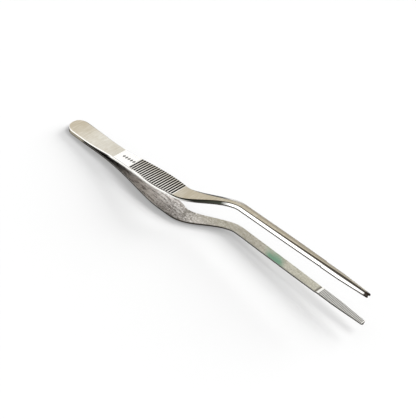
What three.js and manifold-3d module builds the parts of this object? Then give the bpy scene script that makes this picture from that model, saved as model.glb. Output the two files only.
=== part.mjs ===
// Spring tongs with offset jaws, in stainless steel: two long blades welded together at the tail.
// Each blade is a flat strip. From the rear it is a rounded tail, a narrow spring section, a wide grip
// with cross grooves, a sideways double bend, and a slim bevelled arm that ends in a serrated jaw.
// The blades part behind the grip, bow away from each other and then run nearly parallel.
//
// The blades are shaped about their own mid-plane, z = 0, with the rear end at x = 0 and the jaws at
// large x. The finished tongs are then laid down as they rest on a table: +Z up, +X towards the jaws,
// and the origin under the middle of the whole outline.

import * as THREE from 'three';
import { mergeVertices } from 'three/addons/utils/BufferGeometryUtils.js';
import Module from 'manifold-3d';

// ---- driving sizes, in millimetres --------------------------------------------------------------

// Along the blade, measured from the rear end.
const overallLength = 160;
const weldEnd = 9;
const tailEnd = 10.7;
const waistPlace = 30;
const grooveStart = 40.5;
const gripPlace = 56;
const offsetStart = 67;
const bowPlace = 72;
const offsetEnd = 91.5;
const armPlace = 86;
const taperLength = 30;
const pointLength = 15;
const jawLength = 24;

// Across the blade.
const tailEndFlat = 2;
const tailRound = 4.65;
const tailWidth = 9.8;
const waistWidth = 8.2;
const gripWidth = 10.9;
const armWidth = 4.7;
const pointWidth = 4.2;
const tipWidth = 2.5;
const tipRound = 0.45;
const armOffset = 12;
const heelSwell = 0.35;

// Through the blade.
const stripThickness = 1.15;
const edgeHeight = 0.6;
const gripBevel = 0.4;
const armFlatWidth = 1.5;
const seamGap = 0.3;

// How the two blades part.
const openStart = 19;
const openSlope = 0.109;
const openSoftness = 8;
const armSlope = 0.018;
const bowSoftness = 4;

// Grip grooves, one row on the outer face of each blade.
const grooveCount = 20;
const groovePitch = 1.34;
const grooveWidth = 0.7;
const grooveDepth = 0.3;
const grooveMargin = 0.2;

// Jaws.
const padHeight = 0.2;
const padRamp = 0.5;
const toothPitch = 0.65;
const toothDepth = 0.18;
const toothMargin = 0.6;
const notchWidth = 1.3;
const notchDepth = 1.1;

// The weld, and where each blade bends in effect when it is squeezed.
const weldLength = 5.6;
const weldWidth = 5;
const weldPocket = 0.35;
const fingerPlace = 55;
const flexStart = 13;
const clearance = 0.3;

// How finely the solids are faceted.
const springStep = 3.3;
const offsetStep = 1.8;
const armStep = 7.5;
const jawStep = 6;
const roundSteps = 6;
const discSegments = 12;
const closestStations = 0.02;
const mergeDistance = 1e-4;

// Small steps along the blade, to find its slope and where it rests.
const slopeStep = 0.01;
const restStep = 0.5;

// ---- places that follow from them ---------------------------------------------------------------

// A strip pressed at its end turns as if about a point one third of the way along it.
const pivotPlace = flexStart + (fingerPlace - flexStart) / 3;
const jawStart = overallLength - jawLength;
const pointStart = overallLength - pointLength;
const taperStart = pointStart - taperLength;
const cutOverrun = 1;

const wasm = await Module();
wasm.setup();

// ---- the blade's shape as functions of the distance from the rear end ---------------------------

const ease = (value, from, to) => THREE.MathUtils.smoothstep(value, from, to);

// A ramp that starts at zero slope and turns smoothly into the line y = distance.
const ramp = (distance, softness) => (Math.hypot(distance, softness) + distance) / 2;

// Half the space between the two strips, before the seam at the tail is allowed for.
function opening(x) {
  const parting = ramp(x - openStart, openSoftness) - ramp(weldEnd - openStart, openSoftness);
  const straightening = ramp(x - bowPlace, bowSoftness) - ramp(weldEnd - bowPlace, bowSoftness);
  return Math.max(0, openSlope * parting - (openSlope - armSlope) * straightening);
}

function padRise(x) {
  return padHeight * THREE.MathUtils.clamp((x - jawStart) / padRamp, 0, 1);
}

const innerFace = (x) => Math.max(seamGap / 2, opening(x) - padRise(x));
const outerFace = (x) => opening(x) + stripThickness;

// The strip's middle line, seen from above: straight, a small swell at the heel, then the offset.
function middleLine(x) {
  const swellRise = ease(x, grooveStart + groovePitch, gripPlace + 2 * groovePitch);
  const swellFall = ease(x, offsetStart, bowPlace + 2 * bowSoftness);
  return armOffset * ease(x, offsetStart, offsetEnd) - heelSwell * swellRise * (1 - swellFall);
}

function sideways(x) {
  const slope = (middleLine(x + slopeStep) - middleLine(x - slopeStep)) / (2 * slopeStep);
  return new THREE.Vector2(-slope, 1).normalize();
}

function fullWidth(x) {
  let width = tailWidth;
  width += (waistWidth - tailWidth) * ease(x, tailEnd, waistPlace);
  width += (gripWidth - waistWidth) * ease(x, waistPlace, gripPlace);
  width += (armWidth - gripWidth) * ease(x, gripPlace, armPlace);
  width += (pointWidth - armWidth) * ease(x, taperStart, pointStart);
  const along = THREE.MathUtils.clamp((x - pointStart) / (overallLength - pointStart), 0, 1);
  return width + (tipWidth - pointWidth) * along;
}

function halfWidth(x) {
  const half = fullWidth(x) / 2;
  if (x < tailRound) {
    const roundness = Math.sqrt(1 - (1 - x / tailRound) ** 2);
    return tailEndFlat / 2 + (half - tailEndFlat / 2) * roundness;
  }
  const pastRound = x - (overallLength - tipRound);
  if (pastRound > 0) {
    return half - tipRound + Math.sqrt(Math.max(0, tipRound ** 2 - pastRound ** 2));
  }
  return half;
}

// The outer face is narrower than the strip: lightly eased in the grip, deeply bevelled on the arms.
function outerHalfWidth(x) {
  const half = halfWidth(x);
  const armFlat = (armFlatWidth / 2) * (half / (armWidth / 2));
  return THREE.MathUtils.lerp(half - Math.min(gripBevel, half / 3), armFlat, ease(x, offsetStart, armPlace));
}

// ---- building the solids ------------------------------------------------------------------------

function toSolid(geometry) {
  const bare = geometry.clone();
  bare.deleteAttribute('normal');
  bare.deleteAttribute('uv');
  const merged = mergeVertices(bare, mergeDistance);
  return new wasm.Manifold(new wasm.Mesh({
    numProp: 3,
    vertProperties: new Float32Array(merged.getAttribute('position').array),
    triVerts: new Uint32Array(merged.getIndex().array),
  }));
}

function toGeometry(solid) {
  const { vertProperties, triVerts } = solid.getMesh();
  const geometry = new THREE.BufferGeometry();
  geometry.setAttribute('position', new THREE.BufferAttribute(vertProperties, 3));
  geometry.setIndex(new THREE.BufferAttribute(triVerts, 1));
  geometry.computeVertexNormals();
  return geometry;
}

// Distances at which the strip has a cross-section: close together where its outline turns quickly.
function stations(from, to) {
  const found = [from, to];
  const add = (start, end, longestStep) => {
    const count = Math.ceil((end - start) / longestStep);
    for (let i = 0; i <= count; i += 1) {
      found.push(THREE.MathUtils.lerp(start, end, i / count));
    }
  };
  for (let i = 0; i <= roundSteps; i += 1) {
    const turn = (i / roundSteps) * (Math.PI / 2);
    found.push(tailRound * (1 - Math.cos(turn)));
    found.push(overallLength - tipRound * (1 - Math.sin(turn)));
  }
  add(tailRound, weldEnd, tailRound);
  add(weldEnd, offsetStart, springStep);
  add(offsetStart, offsetEnd, offsetStep);
  add(offsetEnd, jawStart, armStep);
  add(jawStart, jawStart + padRamp, padRamp);
  add(jawStart + padRamp, overallLength - tipRound, jawStep);
  return found
    .filter((x) => x >= from && x <= to)
    .sort((a, b) => a - b)
    .filter((x, i, list) => i === 0 || x - list[i - 1] > closestStations);
}

// A six-sided section carried along the strip. In the plain extrusion x is the side (-1 to 1), y the
// level (0 inner face, 1 top of the edge, 2 outer face) and z the number of the station.
function strip(from, to) {
  const places = stations(from, to);
  const section = new THREE.Shape([
    new THREE.Vector2(-1, 0),
    new THREE.Vector2(1, 0),
    new THREE.Vector2(1, 1),
    new THREE.Vector2(0.5, 2),
    new THREE.Vector2(-0.5, 2),
    new THREE.Vector2(-1, 1),
  ]);
  const steps = places.length - 1;
  const geometry = new THREE.ExtrudeGeometry(section, { depth: steps, steps, bevelEnabled: false });
  const position = geometry.getAttribute('position');
  for (let i = 0; i < position.count; i += 1) {
    const x = places[Math.round(position.getZ(i))];
    const side = Math.sign(position.getX(i));
    const level = Math.round(position.getY(i));
    const across = side * (level === 2 ? outerHalfWidth(x) : halfWidth(x));
    const height = [innerFace(x), innerFace(x) + edgeHeight, outerFace(x)][level];
    const turn = sideways(x);
    position.setXYZ(i, x + across * turn.x, middleLine(x) + across * turn.y, height);
  }
  return toSolid(geometry);
}

function blockBetween(low, high) {
  const size = high.clone().sub(low);
  const middle = high.clone().add(low).multiplyScalar(0.5);
  const block = new THREE.BoxGeometry(size.x, size.y, size.z);
  block.translate(middle.x, middle.y, middle.z);
  return toSolid(block);
}

// Grooves stop short of one long edge and run out over the other.
function cutGrooves(solid) {
  let result = solid;
  for (let i = 0; i < grooveCount; i += 1) {
    const x = grooveStart + i * groovePitch;
    const low = new THREE.Vector3(
      x - grooveWidth / 2,
      middleLine(x) - outerHalfWidth(x) + grooveMargin,
      outerFace(x) - grooveDepth,
    );
    const high = new THREE.Vector3(
      x + grooveWidth / 2,
      middleLine(x) + halfWidth(x) + cutOverrun,
      outerFace(x) + cutOverrun,
    );
    result = result.subtract(blockBetween(low, high));
  }
  return result;
}

// One comb with V-shaped teeth, laid across the pad and following its slope.
function cutTeeth(solid) {
  const first = jawStart + padRamp + toothMargin;
  const last = overallLength - tipRound;
  const count = Math.floor((last - first) / toothPitch);
  const start = last - count * toothPitch;
  const comb = new THREE.Shape();
  comb.moveTo(start, innerFace(start) - cutOverrun);
  comb.lineTo(start, innerFace(start));
  for (let i = 0; i < count; i += 1) {
    const root = start + (i + 0.5) * toothPitch;
    const crest = start + (i + 1) * toothPitch;
    comb.lineTo(root, innerFace(root) + toothDepth);
    comb.lineTo(crest, innerFace(crest));
  }
  comb.lineTo(last, innerFace(last) - cutOverrun);
  comb.closePath();
  const width = armWidth + 2 * cutOverrun;
  const geometry = new THREE.ExtrudeGeometry(comb, { depth: width, bevelEnabled: false });
  geometry.rotateX(Math.PI / 2);
  geometry.translate(0, middleLine(overallLength) + width / 2, 0);
  return solid.subtract(toSolid(geometry));
}

// A V-shaped notch that leaves two small prongs at the end of one jaw.
function cutNotch(solid) {
  const middle = middleLine(overallLength);
  const half = (notchWidth / 2) * ((notchDepth + cutOverrun) / notchDepth);
  const notch = new THREE.Shape([
    new THREE.Vector2(overallLength - notchDepth, middle),
    new THREE.Vector2(overallLength + cutOverrun, middle - half),
    new THREE.Vector2(overallLength + cutOverrun, middle + half),
  ]);
  const depth = stripThickness + padHeight + 2 * cutOverrun;
  const geometry = new THREE.ExtrudeGeometry(notch, { depth, bevelEnabled: false });
  geometry.translate(0, 0, innerFace(overallLength) - cutOverrun);
  return solid.subtract(toSolid(geometry));
}

function weldOutline(grow) {
  const outline = new THREE.Shape();
  outline.absellipse(weldEnd / 2, 0, weldLength / 2 + grow, weldWidth / 2 + grow, 0, Math.PI * 2);
  return outline;
}

function weldDisc(grow, halfHeight) {
  const geometry = new THREE.ExtrudeGeometry(weldOutline(grow), {
    depth: 2 * halfHeight,
    curveSegments: discSegments,
    bevelEnabled: false,
  });
  geometry.translate(0, 0, -halfHeight);
  return geometry;
}

const weldHalfHeight = seamGap / 2 + weldPocket - clearance;

function bladeTail() {
  const pocket = toSolid(weldDisc(clearance, seamGap / 2 + weldPocket));
  return strip(0, pivotPlace - clearance / 2).subtract(pocket);
}

function bladeArm(forked) {
  const grooved = cutGrooves(strip(pivotPlace + clearance / 2, overallLength));
  const toothed = cutTeeth(grooved);
  return forked ? cutNotch(toothed) : toothed;
}

// ---- materials: one for each piece --------------------------------------------------------------

function steel(color, roughness) {
  return new THREE.MeshStandardMaterial({ color, roughness, metalness: 1 });
}

function piece(name, geometry, material) {
  const mesh = new THREE.Mesh(geometry, material);
  mesh.name = name;
  return mesh;
}

// ---- assembly -----------------------------------------------------------------------------------

const tailGeometry = toGeometry(bladeTail());

const upperBlade = new THREE.Group();
upperBlade.add(piece('upper_blade_tail', tailGeometry, steel(0xc8c2af, 0.38)));
upperBlade.add(piece('upper_blade_arm', toGeometry(bladeArm(true)), steel(0xc9c1b0, 0.34)));

const lowerBlade = new THREE.Group();
lowerBlade.scale.z = -1;
lowerBlade.add(piece('lower_blade_tail', tailGeometry, steel(0xbfb9a8, 0.4)));
lowerBlade.add(piece('lower_blade_arm', toGeometry(bladeArm(false)), steel(0xbebba9, 0.4)));

const weld = piece('tail_weld', weldDisc(0, weldHalfHeight), steel(0xaaa595, 0.55));

const tongs = new THREE.Group();
tongs.add(upperBlade, lowerBlade, weld);

// Laid on a flat table, the tongs touch it at the rear end and at the lower blade's bow.
let restSlope = 0;
for (let x = tailRound; x <= overallLength; x += restStep) {
  restSlope = Math.max(restSlope, opening(x) / x);
}
tongs.rotation.y = -Math.atan(restSlope);

const laid = new THREE.Group();
laid.add(tongs);
laid.updateMatrixWorld(true);
const outline = new THREE.Box3().setFromObject(laid, true);
const middle = outline.getCenter(new THREE.Vector3());
laid.position.set(-middle.x, -middle.y, -outline.min.z);

const group = new THREE.Group();
group.add(laid);

export default group;
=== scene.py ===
import math

import bmesh
import bpy
from mathutils import Matrix, Vector


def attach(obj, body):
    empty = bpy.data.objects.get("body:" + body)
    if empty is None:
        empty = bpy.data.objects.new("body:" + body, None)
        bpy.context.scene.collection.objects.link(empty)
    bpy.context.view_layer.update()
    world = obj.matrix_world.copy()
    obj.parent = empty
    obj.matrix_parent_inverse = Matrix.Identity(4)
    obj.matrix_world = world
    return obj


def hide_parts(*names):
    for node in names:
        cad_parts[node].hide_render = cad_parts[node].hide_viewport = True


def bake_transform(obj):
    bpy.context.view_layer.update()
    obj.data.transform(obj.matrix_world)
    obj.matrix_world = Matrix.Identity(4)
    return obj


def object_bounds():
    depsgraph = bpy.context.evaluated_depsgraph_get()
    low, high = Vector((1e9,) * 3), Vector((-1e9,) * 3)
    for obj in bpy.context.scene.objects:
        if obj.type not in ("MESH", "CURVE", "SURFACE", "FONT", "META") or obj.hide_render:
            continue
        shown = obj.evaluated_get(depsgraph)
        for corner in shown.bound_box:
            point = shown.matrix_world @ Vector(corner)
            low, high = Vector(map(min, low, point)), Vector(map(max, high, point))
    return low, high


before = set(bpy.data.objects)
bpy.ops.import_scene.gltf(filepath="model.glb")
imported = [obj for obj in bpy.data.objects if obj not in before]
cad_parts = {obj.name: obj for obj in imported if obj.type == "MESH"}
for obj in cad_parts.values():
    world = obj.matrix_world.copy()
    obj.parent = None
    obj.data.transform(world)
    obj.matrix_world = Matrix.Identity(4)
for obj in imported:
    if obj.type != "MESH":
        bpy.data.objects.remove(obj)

MM = 0.001
CAD_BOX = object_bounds()

# ---- sizes of the tongs -------------------------------------------------------------------------
# Each blade is shaped about the plane between the blades, with its rear end at x = 0, its jaw at
# large x and its outer face away from z = 0. laid_down() then puts it where the CAD model lies.

SIZES = {
    "length": 160 * MM,
    "weld end": 9 * MM,
    "tail end": 10.7 * MM,
    "waist place": 30 * MM,
    "groove start": 40.5 * MM,
    "grip place": 56 * MM,
    "offset start": 67 * MM,
    "bow place": 72 * MM,
    "offset end": 91.5 * MM,
    "arm place": 86 * MM,
    "taper start": 115 * MM,
    "point start": 145 * MM,
    "jaw start": 136 * MM,
    "tail end flat": 2 * MM,
    "tail round": 4.65 * MM,
    "tail width": 9.8 * MM,
    "waist width": 8.2 * MM,
    "grip width": 10.9 * MM,
    "arm width": 4.7 * MM,
    "point width": 4.2 * MM,
    "tip width": 2.5 * MM,
    "tip round": 0.45 * MM,
    "arm offset": 12 * MM,
    "heel swell": 0.35 * MM,
    "thickness": 1.15 * MM,
    "edge height": 0.6 * MM,
    "grip bevel": 0.4 * MM,
    "arm flat": 1.5 * MM,
    "seam gap": 0.3 * MM,
    "open start": 19 * MM,
    "open slope": 0.109,
    "open softness": 8 * MM,
    "arm slope": 0.018,
    "bow softness": 4 * MM,
    "groove pitch": 1.34 * MM,
    "groove width": 0.84 * MM,
    "groove depth": 0.3 * MM,
    "pad height": 0.2 * MM,
    "pad ramp": 0.5 * MM,
    "tooth pitch": 0.65 * MM,
    "tooth depth": 0.18 * MM,
    "notch width": 1.3 * MM,
    "notch depth": 1.1 * MM,
    "corner": 0.07 * MM,
}
GROOVES = 20
TEETH = 34
# The share of the arm's flat that is left where the jaws' points start.
FLAT_AT_POINT = 0.45
# Half widths of a groove's floor and of its mouth, as shares of half its width.
GROOVE_FLOOR = 0.84
GROOVE_MOUTH = 1.1

# How finely a blade is divided along its length ...
TAIL_RINGS = 14
SPRING_RINGS = 40
GROOVE_RINGS = 16
BEND_RINGS = 56
ARM_RINGS = 34
PAD_RINGS = 2
TOOTH_RINGS = 6
TIP_RINGS = 5
# ... and around its section.
INNER_COLUMNS = 24
EDGE_COLUMNS = 2
BEVEL_COLUMNS = 4
OUTER_COLUMNS = 40
COLUMNS_TO_OUTER = 2 + EDGE_COLUMNS + BEVEL_COLUMNS + 1
COLUMNS_TO_INNER = COLUMNS_TO_OUTER + OUTER_COLUMNS + COLUMNS_TO_OUTER
COLUMNS = COLUMNS_TO_INNER + INNER_COLUMNS + 1


# ---- formulas as nodes --------------------------------------------------------------------------

class Field:
    """A value that varies over a piece. Python's operators on it add Math nodes to its tree."""

    def __init__(self, graph, socket):
        self.graph = graph
        self.socket = socket

    def __add__(self, other):
        return self.graph.math("ADD", self, other)

    def __sub__(self, other):
        return self.graph.math("SUBTRACT", self, other)

    def __rsub__(self, other):
        return self.graph.math("SUBTRACT", other, self)

    def __mul__(self, other):
        return self.graph.math("MULTIPLY", self, other)

    def __truediv__(self, other):
        return self.graph.math("DIVIDE", self, other)

    def __rtruediv__(self, other):
        return self.graph.math("DIVIDE", other, self)

    __radd__ = __add__
    __rmul__ = __mul__


class Graph:
    """A node tree, for geometry or for a material, with short calls for the nodes used here."""

    def __init__(self, tree):
        self.tree = tree

    def put(self, socket, value):
        if isinstance(value, Field):
            self.tree.links.new(value.socket, socket)
        elif value is not None:
            socket.default_value = value

    def add(self, kind, inputs=(), output=0, **settings):
        node = self.tree.nodes.new(kind)
        for name, value in settings.items():
            setattr(node, name, value)
        for key, value in dict(inputs).items():
            self.put(node.inputs[key], value)
        return Field(self, node.outputs[output])

    def math(self, operation, *values):
        return self.add("ShaderNodeMath", enumerate(values), operation=operation)

    def ramp(self, value, start, end, low=0.0, high=1.0, smooth=False):
        kind = "SMOOTHSTEP" if smooth else "LINEAR"
        inputs = {"Value": value, "From Min": start, "From Max": end, "To Min": low, "To Max": high}
        return self.add("ShaderNodeMapRange", inputs, interpolation_type=kind)

    def ease(self, value, start, end):
        return self.ramp(value, start, end, smooth=True)

    def sqrt(self, value):
        return self.math("SQRT", value)

    def least(self, first, second):
        return self.math("MINIMUM", first, second)

    def most(self, first, second):
        return self.math("MAXIMUM", first, second)

    def between(self, value, start, end, blur):
        """1 from start to end and 0 outside, with soft ends."""
        rise = self.ramp(value, start - blur, start + blur)
        fall = self.ramp(value, end - blur, end + blur)
        return rise * (1 - fall)

    def attribute(self, name):
        if self.tree.type == "SHADER":
            return self.add("ShaderNodeAttribute", output="Fac", attribute_name=name)
        return self.add("GeometryNodeInputNamedAttribute", {"Name": name}, data_type="FLOAT")


# ---- one blade, as a Geometry Nodes tree --------------------------------------------------------

def opening(g, size, x):
    """Half the space between the blades before the seam at the tail is allowed for."""

    def bend(distance, softness):
        return (g.sqrt(distance * distance + softness * softness) + distance) / 2

    def from_weld(place, softness):
        return bend(x - place, softness) - bend(size["weld end"] - place, softness)

    parting = from_weld(size["open start"], size["open softness"])
    straightening = from_weld(size["bow place"], size["bow softness"])
    change = size["open slope"] - size["arm slope"]
    return g.most(0, size["open slope"] * parting - change * straightening)


def middle_line(g, size, x):
    """How far to the side the blade's middle lies: the arm's offset and a slight swell of the grip."""
    first = size["groove start"] + size["groove pitch"]
    last = size["grip place"] + 2 * size["groove pitch"]
    swell_rise = g.ease(x, first, last)
    swell_fall = g.ease(x, size["offset start"], size["bow place"] + 2 * size["bow softness"])
    offset = size["arm offset"] * g.ease(x, size["offset start"], size["offset end"])
    return offset - size["heel swell"] * swell_rise * (1 - swell_fall)


def half_width(g, size, x):
    """Half the blade's width, rounded at the tail and at the jaw's corners."""
    width = size["tail width"]
    steps = [
        ("tail width", "waist width", "tail end", "waist place", True),
        ("waist width", "grip width", "waist place", "grip place", True),
        ("grip width", "arm width", "grip place", "arm place", True),
        ("arm width", "point width", "taper start", "point start", True),
        ("point width", "tip width", "point start", "length", False),
    ]
    for old, new, start, end, smooth in steps:
        width = width + (size[new] - size[old]) * g.ramp(x, size[start], size[end], smooth=smooth)
    half = width / 2
    before = 1 - g.ramp(x, 0, size["tail round"])
    flat = size["tail end flat"] / 2
    half = flat + (half - flat) * g.sqrt(1 - before * before)
    past = g.ramp(x, size["length"] - size["tip round"], size["length"])
    return half - size["tip round"] * (1 - g.sqrt(1 - past * past))


def outer_half_width(g, size, x, half):
    """Half the width of the flat between the bevels, which narrows along the arm."""
    narrowing = g.ramp(x, size["arm place"], size["point start"], 1.0, FLAT_AT_POINT)
    arm_flat = size["arm flat"] / 2 * (half / (size["arm width"] / 2)) * narrowing
    grip_flat = half - g.least(size["grip bevel"], half / 3)
    share = g.ease(x, size["offset start"], size["arm place"])
    return grip_flat + (arm_flat - grip_flat) * share


def ring_place(g, size, ring):
    """How far along the blade each ring of the mesh lies, and the number of rings."""
    quarter = math.pi / 2
    turn = g.ramp(ring, 1, 1 + TAIL_RINGS, 0, quarter)
    x = size["tail round"] * (1 - g.math("COSINE", turn))
    at = 1 + TAIL_RINGS
    first_groove = size["groove start"] - size["groove pitch"] / 2
    last_groove = first_groove + size["groove pitch"] * GROOVES
    first_tooth = size["length"] - size["tip round"] - size["tooth pitch"] * TEETH
    stretches = [
        (size["tail round"], first_groove, SPRING_RINGS),
        (first_groove, last_groove, GROOVES * GROOVE_RINGS),
        (last_groove, size["offset end"], BEND_RINGS),
        (size["offset end"], size["jaw start"], ARM_RINGS),
        (size["jaw start"], size["jaw start"] + size["pad ramp"], PAD_RINGS),
        (size["jaw start"] + size["pad ramp"], first_tooth, PAD_RINGS),
        (first_tooth, size["length"] - size["tip round"], TEETH * TOOTH_RINGS),
    ]
    for start, end, rings in stretches:
        x = x + (end - start) * g.ramp(ring, at, at + rings)
        at += rings
    x = x + size["tip round"] * g.math("SINE", g.ramp(ring, at, at + TIP_RINGS, 0, quarter))
    return x, at + TIP_RINGS + 2


def section(g, size, half, flat, low, high):
    """Corners of the blade's section with the number of columns up to the next one."""
    corner = size["corner"]
    top = low + size["edge height"]
    near_corner = corner / (half - flat)
    side_in = half - (half - flat) * near_corner
    side_out = flat + (half - flat) * near_corner
    rise = (high - top) * near_corner
    near = [
        (half - corner, low, 1),
        (half, low + corner, EDGE_COLUMNS),
        (half, top - corner, 1),
        (side_in, top + rise, BEVEL_COLUMNS),
        (side_out, high - rise, 1),
        (flat - corner, high, OUTER_COLUMNS),
    ]
    columns = [1, BEVEL_COLUMNS, 1, EDGE_COLUMNS, 1, INNER_COLUMNS]
    far = [(y, z, count) for (y, z, _), count in zip(reversed(near), columns)]
    return [(0 - y, z, count) for y, z, count in near] + far


def blade_tree():
    """The tree that carries a six-sided section along the blade and cuts its grooves and teeth."""
    tree = bpy.data.node_groups.new("sprung blade", "GeometryNodeTree")
    g = Graph(tree)
    tree.interface.new_socket("Blade", in_out="OUTPUT", socket_type="NodeSocketGeometry")
    names = [*SIZES, "side"]
    for name in names:
        tree.interface.new_socket(name, in_out="INPUT", socket_type="NodeSocketFloat")
    tree.interface.new_socket("Steel", in_out="INPUT", socket_type="NodeSocketMaterial")
    given = tree.nodes.new("NodeGroupInput")
    size = {name: Field(g, given.outputs[name]) for name in names}

    index = g.add("GeometryNodeInputIndex")
    ring = g.math("FLOOR", (index + 0.5) / COLUMNS)
    column = index - ring * COLUMNS
    x, rings = ring_place(g, size, ring)
    half = half_width(g, size, x)
    flat = outer_half_width(g, size, x, half)
    open_half = opening(g, size, x)
    pad = size["pad height"] * g.ramp(x, size["jaw start"], size["jaw start"] + size["pad ramp"])
    low = g.most(size["seam gap"] / 2, open_half - pad)
    high = open_half + size["thickness"]

    corners = section(g, size, half, flat, low, high)
    across, level, at = corners[0][0], corners[0][1], 0
    for (y, z, count), (next_y, next_z, _) in zip(corners, corners[1:] + corners[:1]):
        share = g.ramp(column, at, at + count)
        across = across + (next_y - y) * share
        level = level + (next_z - z) * share
        at += count

    # Grooves: cut from the outer face, short of its near edge and out over its far one.
    count = g.math("ROUND", (x - size["groove start"]) / size["groove pitch"])
    count = g.least(g.most(count, 0), GROOVES - 1)
    off_centre = g.math("ABSOLUTE", x - size["groove start"] - count * size["groove pitch"])
    wall = size["groove width"] / 2
    in_groove = 1 - g.ramp(off_centre, wall * GROOVE_FLOOR, wall * GROOVE_MOUTH)
    in_groove = in_groove * g.ramp(column, COLUMNS_TO_OUTER + 1, COLUMNS_TO_OUTER + 2)
    level = g.least(level, high - size["groove depth"] * in_groove)

    # Teeth: V-shaped cuts across the pad.
    from_tip = (size["length"] - size["tip round"] - x) / size["tooth pitch"]
    slant = g.math("ABSOLUTE", g.math("FRACT", from_tip + 0.001) * 2 - 1)
    margin = 0.02
    toothed = g.between(from_tip, margin, TEETH - margin, margin)
    in_tooth = (1 - slant) * toothed
    level = g.most(level, low + size["tooth depth"] * in_tooth)

    # The first and last rings close the ends: each shrinks to one point in the middle of its section.
    closed = g.most(g.math("LESS_THAN", ring, 0.5), g.math("GREATER_THAN", ring, rings - 1.5))
    across = across * (1 - closed)
    level = level + ((low + high) / 2 - level) * closed

    # A V-shaped notch draws the middle of the end back.
    notch_reach = 1.6 * MM
    notch = 1 - g.ramp(g.math("ABSOLUTE", across), 0, size["notch width"] / 2)
    notch = notch * size["notch depth"] * g.ramp(x, size["length"] - notch_reach, size["length"])

    # The section stays square to the middle line.
    step = 0.05 * MM
    slope = (middle_line(g, size, x + step) - middle_line(g, size, x - step)) / (2 * step)
    turn = 1 / g.sqrt(slope * slope + 1)
    place = g.add("ShaderNodeCombineXYZ", {
        "X": x - across * slope * turn - notch,
        "Y": middle_line(g, size, x) + across * turn,
        "Z": level * size["side"],
    })

    plate = g.add("GeometryNodeMeshGrid", {"Vertices X": rings, "Vertices Y": COLUMNS})
    inner = g.ramp(column, COLUMNS_TO_INNER - 0.7, COLUMNS_TO_INNER - 0.1)
    near, far = COLUMNS_TO_OUTER, COLUMNS_TO_OUTER + OUTER_COLUMNS
    near_bevel = 1 - g.ramp(column, near - 1 - BEVEL_COLUMNS, near - 1)
    far_bevel = g.ramp(column, far + 1, far + 1 + BEVEL_COLUMNS)
    marks = {
        "along": x,
        "across": across / half,
        "inner": inner,
        "flat": g.ramp(column, near - 1, near) * (1 - g.ramp(column, far, far + 1)),
        "bevel": near_bevel + far_bevel,
        "groove": in_groove * (1 - inner),
        "tooth": in_tooth * inner,
        "side": size["side"],
    }
    for name, value in marks.items():
        plate = g.add(
            "GeometryNodeStoreNamedAttribute",
            {"Geometry": plate, "Name": name, "Value": value},
            data_type="FLOAT",
            domain="POINT",
        )
    shaped = g.add("GeometryNodeSetPosition", {"Geometry": plate, "Position": place})
    merged = g.add("GeometryNodeMergeByDistance", {"Geometry": shaped, "Distance": 0.002 * MM})
    lower = g.math("LESS_THAN", size["side"], 0)
    faced = g.add("GeometryNodeFlipFaces", {"Mesh": merged, "Selection": lower})
    real = g.add("GeometryNodeRealizeInstances", {"Geometry": faced})
    steel = Field(g, given.outputs["Steel"])
    finished = g.add("GeometryNodeSetMaterial", {"Geometry": real, "Material": steel})
    output = tree.nodes.new("NodeGroupOutput")
    g.put(output.inputs["Blade"], finished)
    return tree


def from_tree(name, tree, values):
    """A plain mesh object made by a Geometry Nodes tree with these inputs."""
    holder = bpy.data.objects.new(name + "_holder", bpy.data.meshes.new(name + "_holder"))
    bpy.context.scene.collection.objects.link(holder)
    modifier = holder.modifiers.new("shape", "NODES")
    modifier.node_group = tree
    for item in tree.interface.items_tree:
        if item.in_out == "INPUT":
            modifier[item.identifier] = values[item.name]
    shaped = holder.evaluated_get(bpy.context.evaluated_depsgraph_get())
    mesh = bpy.data.meshes.new_from_object(shaped)
    bpy.data.objects.remove(holder)
    mesh.name = name
    piece = bpy.data.objects.new(name, mesh)
    bpy.context.scene.collection.objects.link(piece)
    return piece


def smooth_faces(mesh, sharpest):
    """Shades the mesh smooth, except over edges that turn by more than this many degrees."""
    mesh.shade_smooth()
    mesh.set_sharp_from_angle(angle=math.radians(sharpest))


# ---- laying the tongs down ----------------------------------------------------------------------

def bow_height(x):
    """opening() again, as a plain number."""

    def bend(distance, softness):
        return (math.hypot(distance, softness) + distance) / 2

    def from_weld(place, softness):
        return bend(x - place, softness) - bend(SIZES["weld end"] - place, softness)

    parting = from_weld(SIZES["open start"], SIZES["open softness"])
    straightening = from_weld(SIZES["bow place"], SIZES["bow softness"])
    change = SIZES["open slope"] - SIZES["arm slope"]
    return max(0.0, SIZES["open slope"] * parting - change * straightening)


def rest_tilt():
    """The tongs rest on the rear end and on the lower blade's bow."""
    step = 0.5 * MM
    steps = int((SIZES["length"] - SIZES["tail round"]) / step)
    places = [SIZES["tail round"] + step * i for i in range(steps + 1)]
    return math.atan(max(bow_height(x) / x for x in places))


def laid_down(pieces):
    """Turns and moves the pieces together to where the CAD model lies."""
    turn = Matrix.Rotation(-rest_tilt(), 4, "Y")
    for piece in pieces:
        piece.data.transform(turn)
    corners = [corner for piece in pieces for corner in mesh_box(piece)]
    low = Vector([min(c[i] for c in corners) for i in range(3)])
    high = Vector([max(c[i] for c in corners) for i in range(3)])
    cad_low, cad_high = CAD_BOX
    shift = (cad_low + cad_high) / 2 - (low + high) / 2
    shift.z = cad_low.z - low.z
    for piece in pieces:
        piece.data.transform(Matrix.Translation(shift))
    return Matrix.Translation(shift) @ turn


def mesh_box(piece):
    places = [v.co for v in piece.data.vertices]
    low = Vector([min(p[i] for p in places) for i in range(3)])
    high = Vector([max(p[i] for p in places) for i in range(3)])
    return low, high


# ---- materials ----------------------------------------------------------------------------------

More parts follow.
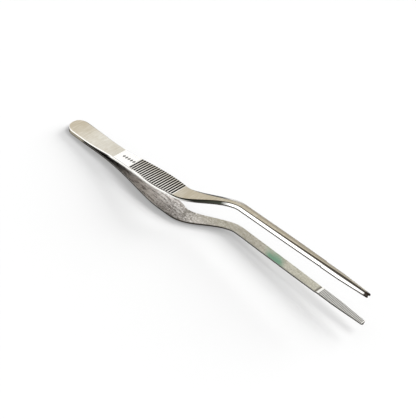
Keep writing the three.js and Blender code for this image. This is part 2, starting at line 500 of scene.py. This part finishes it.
SATIN = (0.645, 0.618, 0.545, 1)
# A yellowed tone, and also the painted shade on the lands' far side.
YELLOWED_TONE_AND_PAINTED_SHADE = (0.440, 0.378, 0.268, 1)
# Near white: polish, and also the painted highlight on the bevels, the upper blade's edge and the pads.
POLISH_AND_PAINTED_HIGHLIGHT = (0.97, 0.96, 0.93, 1)
WARM = (0.432, 0.383, 0.288, 1)
ARM_SATIN = (0.470, 0.450, 0.365, 1)
BEND_SATIN = (0.375, 0.350, 0.285, 1)
GROUND = (0.66, 0.615, 0.575, 1)
SPARK = (0.95, 0.93, 0.90, 1)
# Dark scratches, and also painted shade on the ground face at the grip and a painted shadow at the step
# to the pad.
SCRATCHES_AND_PAINTED_SHADE = (0.07, 0.06, 0.05, 1)
# Dirt and painted shade for the grooves and teeth, and painted shade deep in the throat.
DIRT_AND_PAINTED_SHADE = (0.014, 0.011, 0.005, 1)
# Painted shade and dark reflection for edges, rims and ends, and also the dark of the printed lozenges.
PAINTED_SHADE_AND_PRINT = (0.020, 0.014, 0.008, 1)
# Painted dark reflection for the bevels in the double bend.
PAINTED_DARK_REFLECTION = (0.016, 0.022, 0.009, 1)
# A painted green reflection for the lower arm's inner face.
PAINTED_GREEN_REFLECTION = (0.14, 0.30, 0.20, 1)
WELD_GREY = (0.42, 0.385, 0.305, 1)
WELD_BRIGHT = (0.55, 0.515, 0.43, 1)

# Where a finish changes, in millimetres from the rear end: the change starts at the first place
# and is complete at the second.
CHANGES = {
    # Rear corner, rear end, lower edge, tail's far rim, corner line, inner rim, edge past the grip, line
    # along the arm and jaw's end bound painted shade; upper edge and pad bound painted highlight and
    # sheen.
    "rear corner": (0.9, 0.3),
    "rear end": (3.5, 2.3),
    "yellowed tail": (3, 16),
    "lower edge": (11, 13),
    "tail's far rim": (12, 30),
    "upper edge": (14, 26),
    "lands": (39, 41),
    "corner line": (47, 55),
    "warm satin": (60, 70),
    "inner rim": (60, 80),
    "edge past the grip": (68, 74),
    "far bevel": (84, 92),
    "line along the arm": (88, 96),
    "arm's inner face": (100, 118),
    "pad": (136.3, 136.6),
    "jaw's end": (157.7, 158.3),
}
# Where a finish lies: its start, its end and how far it is blurred there.
STRETCHES = {
    # Beside the throat, open groove ends and double bend bound painted shade; step to the pad bounds a
    # painted shadow.
    "beside the throat": (11.8, 28, 1.2),
    "panel": (30.0, 66.9, 0.12),
    "panel's corner": (30, 43, 1),
    "open groove ends": (50, 66, 2.5),
    "double bend": (65.0, 84.5, 1.8),
    "step to the pad": (135.4, 136.2, 0.2),
    "between the end faces": (0.015, 159.95, 0.01),
}


def new_material(name):
    material = bpy.data.materials.new(name)
    material.use_nodes = True
    material.node_tree.nodes.clear()
    return material, Graph(material.node_tree)


def surfaced(material, g, shader):
    """The material, once its tree ends in this shader."""
    output = material.node_tree.nodes.new("ShaderNodeOutputMaterial")
    g.put(output.inputs["Surface"], shader)
    return material


def metal(g, colour, roughness, relief, depth):
    """A metal's shader, with bumps where the relief rises and hollows where it falls."""
    bump = g.add("ShaderNodeBump", {"Strength": 0.4, "Distance": depth, "Height": relief})
    return g.add("ShaderNodeBsdfPrincipled", {
        "Base Color": colour,
        "Metallic": 1.0,
        "Roughness": roughness,
        "Normal": bump,
    })


def mixed(g, share, first, second):
    inputs = {"Factor": share, 6: first, 7: second}
    return g.add("ShaderNodeMix", inputs, output=2, data_type="RGBA", clamp_factor=True)


def noise(g, fineness, turned=0, detail=3.0, roughness=0.65):
    """Noise in the piece's own place: its fineness per millimetre along X, Y and Z, turned about Z."""
    inputs = {
        "Vector": g.add("ShaderNodeTexCoord", output="Object"),
        "Rotation": (0, 0, math.radians(turned)),
        "Scale": [s / MM for s in fineness],
    }
    place = g.add("ShaderNodeMapping", inputs, vector_type="POINT")
    inputs = {"Vector": place, "Scale": 1.0, "Detail": detail, "Roughness": roughness}
    return g.add("ShaderNodeTexNoise", inputs, output="Fac")


class BladeSurface:
    """What a blade's finishes are worked out from: its stored values and the patterns they share."""

    def __init__(self, g):
        self.g = g
        self.along = g.attribute("along") / MM
        self.across = g.attribute("across")
        self.inner = g.attribute("inner")
        self.flat = g.attribute("flat")
        self.bevel = g.attribute("bevel")
        self.groove = g.attribute("groove")
        self.tooth = g.attribute("tooth")
        self.upper = g.ramp(g.attribute("side"), -0.5, 0.5)
        self.panel = self.within("panel")
        self.rough_ground = 1 - g.ramp(self.along + self.across * 4, 66, 82)

        self.cross_lines = noise(g, (1.7, 0.14, 0.3), 40)
        self.fine_lines = noise(g, (2.2, 0.3, 0.5), 42, detail=2.0, roughness=0.6)
        self.grain = noise(g, (1.3, 1.3, 1.3), roughness=0.7)
        self.clouds = noise(g, (0.10, 0.16, 0.16), detail=2.0, roughness=0.5)
        one_way = noise(g, (0.28, 1.2, 0.8), 32)
        other_way = noise(g, (0.28, 1.2, 0.8), -38)
        self.sparks = g.most(g.ramp(one_way, 0.55, 0.66), g.ramp(other_way, 0.55, 0.66))
        self.scratches = g.most(g.ramp(one_way, 0.46, 0.36), g.ramp(other_way, 0.46, 0.36))

    def past(self, change):
        return self.g.ramp(self.along, *CHANGES[change])

    def within(self, stretch):
        return self.g.between(self.along, *STRETCHES[stretch])


def lozenges(g, blade):
    """A plain row of lozenges across the middle of the burnished panel."""
    pitch = 1.5
    number = 5
    place = (blade.along - 32.2) / pitch
    lengthwise = g.math("ABSOLUTE", g.math("FRACT", place) - 0.5) * pitch
    crosswise = g.math("ABSOLUTE", blade.across) * 4.4
    inside = 1 - g.ramp(lengthwise / 0.68 + crosswise / 1.05, 0.85, 1.1)
    return inside * g.between(place, 0, number, 0.01)


def outer_face(g, blade):
    """A satin tail, a burnished panel and lands, and warmer satin past the grip, with printed lozenges,
    painted shade on the lands' far side, and painted shade along the tail's far rim, where the grooves
    run out and along the arm.
    """
    satin = mixed(g, blade.past("yellowed tail") * 0.8 + 0.2, YELLOWED_TONE_AND_PAINTED_SHADE, SATIN)
    satin = mixed(g, blade.past("warm satin"), satin, WARM)
    satin = mixed(g, g.ramp(blade.clouds, 0.5, 0.75) * 0.35, satin, YELLOWED_TONE_AND_PAINTED_SHADE)
    satin = mixed(g, g.ramp(blade.cross_lines, 0.45, 0.75) * 0.25, satin, POLISH_AND_PAINTED_HIGHLIGHT)
    satin = mixed(g, g.ramp(blade.fine_lines, 0.5, 0.35) * 0.3, satin, YELLOWED_TONE_AND_PAINTED_SHADE)
    # Painted shade on the lands, growing towards the far side.
    lands_painted_shade = blade.past("lands") * g.ramp(blade.across, -0.3, 0.9, 0.2, 0.65)
    polished = mixed(g, lands_painted_shade, POLISH_AND_PAINTED_HIGHLIGHT, YELLOWED_TONE_AND_PAINTED_SHADE)
    face = mixed(g, blade.panel, satin, polished)
    face = mixed(g, lozenges(g, blade) * blade.upper * 0.85, face, PAINTED_SHADE_AND_PRINT)
    # Painted shade along the tail's far rim.
    far_rim_shade = g.ramp(blade.across, 0.855, 0.90) * (1 - blade.past("tail's far rim"))
    face = mixed(g, far_rim_shade * 0.6, face, PAINTED_SHADE_AND_PRINT)
    # Painted shade along the near edge where the grooves run out.
    groove_end_shade = g.ramp(blade.across, -0.86, -0.90) * blade.within("open groove ends")
    face = mixed(g, groove_end_shade * 0.9, face, PAINTED_SHADE_AND_PRINT)
    # A painted dark line along the arm, standing in for a dark reflection between the flat and the near
    # bevel.
    line_place = g.ramp(blade.along, 92, 150, -0.36, 0.12)
    near_shade_line = g.ramp(blade.across - line_place, 0.05, -0.05) * blade.past("line along the arm")
    return mixed(g, near_shade_line * 0.97, face, PAINTED_SHADE_AND_PRINT)


def bevels(g, blade):
    """Painted highlight, with painted dark reflection in the double bend, painted shade along the upper
    corner and at the rear corner, and warm, without the painted highlight, on the arm's far side.
    """
    # Past the grip the far bevel is warm, without the painted highlight.
    far_side = g.ramp(blade.across, 0.0, 0.2) * blade.past("far bevel")
    # Painted highlight, and painted dark reflection in the double bend.
    colour = mixed(g, blade.within("double bend") * 0.97, POLISH_AND_PAINTED_HIGHLIGHT, PAINTED_DARK_REFLECTION)
    colour = mixed(g, far_side, colour, WARM)
    # Painted shade at the rear corner.
    colour = mixed(g, blade.past("rear corner") * 0.92, colour, PAINTED_SHADE_AND_PRINT)
    # Painted dark reflection in a line along the bevel's corner with the flat.
    corner_width = g.ramp(blade.along, 50, 150, 0.28, 0.42)
    corner_shade_line = 1 - g.ramp(blade.bevel, corner_width * 0.6, corner_width)
    corner_share = g.most(blade.past("corner line"), blade.within("panel's corner") * 0.6)
    return mixed(g, corner_share * (1 - far_side) * corner_shade_line * 0.97, colour, PAINTED_SHADE_AND_PRINT)


def narrow_edges(g, blade):
    """Painted highlight beside the grip, and painted shade at the rear end, the throat, the arms and the
    lower blade.
    """
    # Painted shade on the lower blade's edges, beside the throat and past the grip.
    lower = (1 - blade.upper) * blade.past("lower edge")
    past_grip = blade.past("edge past the grip")
    dark = g.most(blade.within("beside the throat"), g.most(past_grip, lower))
    # Painted highlight on the upper blade's edge.
    colour = mixed(g, blade.upper * blade.past("upper edge"), WARM, POLISH_AND_PAINTED_HIGHLIGHT)
    # Painted shade at the rear end, and more painted shade on the whole lower blade.
    colour = mixed(g, blade.past("rear end") * 0.98, colour, PAINTED_SHADE_AND_PRINT)
    colour = mixed(g, (1 - blade.upper) * 0.3, colour, PAINTED_SHADE_AND_PRINT)
    return mixed(g, dark * 0.95, colour, PAINTED_SHADE_AND_PRINT)


def inner_face(g, blade):
    """Painted shade in the throat, ground criss-cross behind the grip with painted shade on part of it,
    satin on the arms with a painted green reflection, a painted shadow at the step to the pad, a painted
    sheen on the pads, and painted shade along the near rim.
    """
    along, across, grain, rough = blade.along, blade.across, blade.grain, blade.rough_ground
    speckle = g.ramp(grain, 0.54, 0.66) * (0.25 + 0.6 * g.between(along - across * 3, 55, 74, 8))
    arm_satin = mixed(g, blade.past("arm's inner face"), BEND_SATIN, ARM_SATIN)
    colour = mixed(g, rough, arm_satin, GROUND)
    colour = mixed(g, blade.scratches * (0.15 + 0.6 * rough), colour, SCRATCHES_AND_PAINTED_SHADE)
    colour = mixed(g, blade.sparks * (0.12 + 0.4 * rough), colour, SPARK)
    colour = mixed(g, speckle, colour, POLISH_AND_PAINTED_HIGHLIGHT)
    colour = mixed(g, g.ramp(grain, 0.46, 0.36) * 0.3, colour, SCRATCHES_AND_PAINTED_SHADE)
    # A painted green reflection in a patch on the arm.
    painted_reflection = g.between(along + across * 1.5, 107.5, 116.3, 1.6) * g.ramp(grain + blade.clouds, 0.55, 0.95)
    colour = mixed(g, painted_reflection * g.ramp(across, 1, -0.3, 0.35, 0.9), colour, PAINTED_GREEN_REFLECTION)
    # A painted sheen on the pad, and a painted shadow at the step to it.
    colour = mixed(g, blade.past("pad") * 0.75, colour, POLISH_AND_PAINTED_HIGHLIGHT)
    colour = mixed(g, blade.within("step to the pad") * 0.6, colour, SCRATCHES_AND_PAINTED_SHADE)
    # Painted shade, standing in for a dark reflection, on the ground face at the grip.
    shade = g.between(along - across * 3, 60, 74, 3) * g.ramp(grain, 0.4, 0.6, 0.55, 0.15)
    colour = mixed(g, shade, colour, SCRATCHES_AND_PAINTED_SHADE)
    # Painted shade along the near rim.
    rim = g.ramp(across, -0.85, -0.92) * blade.past("inner rim")
    colour = mixed(g, rim * 0.9, colour, PAINTED_SHADE_AND_PRINT)
    # Painted shade deep in the throat.
    throat = 1 - g.ramp(along + grain * 14, 30, 49)
    return mixed(g, throat * 0.96, colour, DIRT_AND_PAINTED_SHADE)


def blade_steel():
    """Stainless steel, with a finish for each face, dirt and painted shade in the grooves and teeth, and
    painted shade at the upper jaw's end.
    """
    material, g = new_material("satin_stainless_steel")
    blade = BladeSurface(g)
    edge_colour = narrow_edges(g, blade)
    colour = mixed(g, blade.flat, bevels(g, blade), outer_face(g, blade))
    colour = mixed(g, g.ramp(blade.bevel, 0.9, 0.99) * (1 - blade.inner), colour, edge_colour)
    colour = mixed(g, blade.inner, colour, inner_face(g, blade))
    # The end faces take the narrow edges' colours, with their painted highlight and painted shade.
    colour = mixed(g, 1 - blade.within("between the end faces"), colour, edge_colour)
    # Dirt and painted shade in the grooves and the teeth.
    colour = mixed(g, g.ramp(blade.groove, 0.1, 0.6), colour, DIRT_AND_PAINTED_SHADE)
    colour = mixed(g, g.ramp(blade.tooth, 0.40, 0.85) * 0.85, colour, DIRT_AND_PAINTED_SHADE)
    # Painted shade at the upper jaw's notched end.
    colour = mixed(g, blade.past("jaw's end") * blade.upper * 0.97, colour, PAINTED_SHADE_AND_PRINT)

    polish = g.most(blade.flat * blade.panel, (1 - blade.flat) * (1 - blade.inner))
    roughness = 0.42 - 0.16 * polish + 0.3 * blade.groove
    rough_relief = (blade.sparks - blade.scratches) * blade.inner * blade.rough_ground
    relief = blade.cross_lines * blade.flat * (1 - blade.panel) + rough_relief
    return surfaced(material, g, metal(g, colour, roughness, relief, 0.03 * MM))


def weld_metal():
    """Ground weld metal, with painted shade at the rear end."""
    material, g = new_material("ground_weld_metal")
    grain = noise(g, (3.0, 3.0, 6.0), roughness=0.6)
    colour = mixed(g, g.ramp(grain, 0.35, 0.7), WELD_GREY, WELD_BRIGHT)
    # Painted shade at the rear end.
    rear_end_shade = g.ramp(g.attribute("along") / MM, *CHANGES["rear end"])
    colour = mixed(g, rear_end_shade * 0.98, colour, PAINTED_SHADE_AND_PRINT)
    return surfaced(material, g, metal(g, colour, 0.4 + 0.2 * grain, grain, 0.02 * MM))


# ---- the pieces ---------------------------------------------------------------------------------

def sprung_blade(name, tree, steel, side, notch_depth):
    """One blade: side is 1 for the upper and -1 for the lower."""
    values = dict(SIZES, side=side, Steel=steel)
    values["notch depth"] = notch_depth
    piece = from_tree(name, tree, values)
    smooth_faces(piece.data, sharpest=28)
    return piece


def tail_half_width(x):
    """half_width() at the rounded tail, as a plain number."""
    flat = SIZES["tail end flat"] / 2
    full = SIZES["tail width"] / 2
    before = 1 - min(1.0, x / SIZES["tail round"])
    return flat + (full - flat) * math.sqrt(1 - before * before)


def weld_seam(material):
    """The weld fills the seam between the tails, out to their edges, with a hollow front."""
    front = 12.2 * MM
    hollow = 2.2 * MM
    front_pieces = 16
    same_place = 0.0005 * MM
    corner = SIZES["corner"]
    inner_level = SIZES["seam gap"] / 2
    outer_level = inner_level + corner
    side = [(0.0, tail_half_width(0.0) - corner, tail_half_width(0.0) - corner, inner_level)]
    for i in range(TAIL_RINGS + 1):
        x = SIZES["tail round"] * (1 - math.cos(i / TAIL_RINGS * math.pi / 2))
        side.append((x, tail_half_width(x) - corner, tail_half_width(x), outer_level))
    full = SIZES["tail width"] / 2
    side.append((front, full - corner, full, outer_level))
    rim = [(x, -inner, -outer, level) for x, inner, outer, level in side]
    for i in range(1, front_pieces):
        share = 2 * i / front_pieces - 1
        rim.append((front - hollow * (1 - share * share), share * full, share * full, inner_level))
    rim += reversed(side)

    mesh = bmesh.new()
    loops = [
        [mesh.verts.new((x, inner, inner_level)) for x, inner, _, _ in rim],
        [mesh.verts.new((x, outer, level)) for x, _, outer, level in rim],
        [mesh.verts.new((x, outer, -level)) for x, _, outer, level in rim],
        [mesh.verts.new((x, inner, -inner_level)) for x, inner, _, _ in rim],
    ]
    mesh.faces.new(loops[0])
    mesh.faces.new(list(reversed(loops[-1])))
    for loop, below in zip(loops, loops[1:]):
        for i in range(len(rim)):
            j = (i + 1) % len(rim)
            mesh.faces.new((loop[i], below[i], below[j], loop[j]))
    bmesh.ops.remove_doubles(mesh, verts=mesh.verts, dist=same_place)
    bmesh.ops.triangulate(mesh, faces=mesh.faces)
    bmesh.ops.recalc_face_normals(mesh, faces=mesh.faces)
    data = bpy.data.meshes.new("weld_between_tails")
    mesh.to_mesh(data)
    mesh.free()
    along = data.attributes.new("along", "FLOAT", "POINT")
    along.data.foreach_set("value", [v.co.x for v in data.vertices])
    data.materials.append(material)
    piece = bpy.data.objects.new("weld_between_tails", data)
    bpy.context.scene.collection.objects.link(piece)
    smooth_faces(data, sharpest=40)
    return piece


def build_tongs():
    steel = blade_steel()
    tree = blade_tree()
    upper = sprung_blade("upper_blade", tree, steel, 1.0, SIZES["notch depth"])
    lower = sprung_blade("lower_blade", tree, steel, -1.0, 0.0)
    weld = weld_seam(weld_metal())
    placed = laid_down([upper, lower, weld])
    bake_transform(upper)
    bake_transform(lower)
    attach(weld, "root")
    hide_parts("upper_blade_tail", "upper_blade_arm")
    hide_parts("lower_blade_tail", "lower_blade_arm")
    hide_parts("tail_weld")


# ---- camera, floor and light --------------------------------------------------------------------
# Azimuths and elevations are in degrees.

LENS = 131
AIM = Vector((-1.44, 0.80, 8.0)) * MM
CAMERA_AZIMUTH = 37.94
CAMERA_ELEVATION = 43.48
CAMERA_DISTANCE = 631 * MM
CAMERA_ROLL = 11.05

FLOOR_REACH = 40.0
FLOOR_BELOW = 0.05 * MM
FLOOR_GREY = 0.25
FLOOR_GLOW = 0.27

# The room is even but for these round patches: the brightness that each adds, where it is, and the
# angles from its middle up to which it is full and from which it is gone.
ROOM_BRIGHTNESS = 0.78
PATCHES = {
    "dark overhead": (-0.60, 30, 82, 8, 32),
    "beyond the rear end": (1.2, 262, 58, 8, 30),
    "opposite the camera": (0.30, 218, 43, 14, 34),
    "low in front": (0.35, 330, 18, 15, 60),
}


def direction(azimuth, elevation):
    """Points from the object towards a place seen at this azimuth (0 is the -Y side) and elevation."""
    a, e = math.radians(azimuth), math.radians(elevation)
    return Vector((math.sin(a) * math.cos(e), -math.cos(a) * math.cos(e), math.sin(e)))


def add_camera():
    data = bpy.data.cameras.new("camera")
    data.lens = LENS
    data.clip_start = 0.01
    data.clip_end = 20
    camera = bpy.data.objects.new("camera", data)
    bpy.context.scene.collection.objects.link(camera)
    back = direction(CAMERA_AZIMUTH, CAMERA_ELEVATION)
    camera.location = AIM + back * CAMERA_DISTANCE
    look = (-back).to_track_quat("-Z", "Y").to_matrix().to_4x4()
    roll = Matrix.Rotation(math.radians(CAMERA_ROLL), 4, "Z")
    camera.matrix_world = Matrix.Translation(camera.location) @ look @ roll
    bpy.context.scene.camera = camera


def add_floor():
    """A wide pale floor that glows a little, so that shadows on it stay pale."""
    mesh = bmesh.new()
    bmesh.ops.create_grid(mesh, x_segments=1, y_segments=1, size=FLOOR_REACH)
    data = bpy.data.meshes.new("floor")
    mesh.to_mesh(data)
    mesh.free()
    floor = bpy.data.objects.new("floor", data)
    bpy.context.scene.collection.objects.link(floor)
    floor.location.z = CAD_BOX[0].z - FLOOR_BELOW
    material, g = new_material("pale_floor")
    grey = (FLOOR_GREY, FLOOR_GREY, FLOOR_GREY, 1)
    surface = g.add("ShaderNodeBsdfDiffuse", {"Color": grey})
    glow = g.add("ShaderNodeEmission", {"Color": (1.0, 1.0, 1.0, 1), "Strength": FLOOR_GLOW})
    shader = g.add("ShaderNodeAddShader", {0: surface, 1: glow})
    data.materials.append(surfaced(material, g, shader))


def add_sun(name, azimuth, elevation, width, irradiance):
    """A wide, even source that lights the floor and casts the shadow, but doesn't glare on metal."""
    data = bpy.data.lights.new(name, "SUN")
    data.angle = math.radians(width)
    data.energy = irradiance
    light = bpy.data.objects.new(name, data)
    bpy.context.scene.collection.objects.link(light)
    light.rotation_mode = "QUATERNION"
    light.rotation_quaternion = direction(azimuth, elevation).to_track_quat("Z", "Y")
    light.visible_glossy = False


def add_room():
    """An even room with a dark patch overhead and brighter patches around, for the metal to mirror."""
    world = bpy.data.worlds.new("studio")
    world.use_nodes = True
    g = Graph(world.node_tree)
    towards = g.add("ShaderNodeTexCoord", output="Generated")
    level = ROOM_BRIGHTNESS
    for brightness, azimuth, elevation, full, gone in PATCHES.values():
        inputs = {0: towards, 1: direction(azimuth, elevation)}
        nearness = g.add("ShaderNodeVectorMath", inputs, output="Value", operation="DOT_PRODUCT")
        share = g.ease(nearness, math.cos(math.radians(gone)), math.cos(math.radians(full)))
        level = level + brightness * share
    background = world.node_tree.nodes["Background"]
    background.inputs["Color"].default_value = (1.0, 1.0, 1.0, 1)
    g.put(background.inputs["Strength"], level)
    bpy.context.scene.world = world
    bpy.context.scene.view_settings.view_transform = "Standard"


add_camera()
add_floor()
add_room()
add_sun("key", azimuth=130, elevation=58, width=32, irradiance=3.2)
add_sun("low_key", azimuth=165, elevation=15, width=42, irradiance=14.0)
build_tongs()
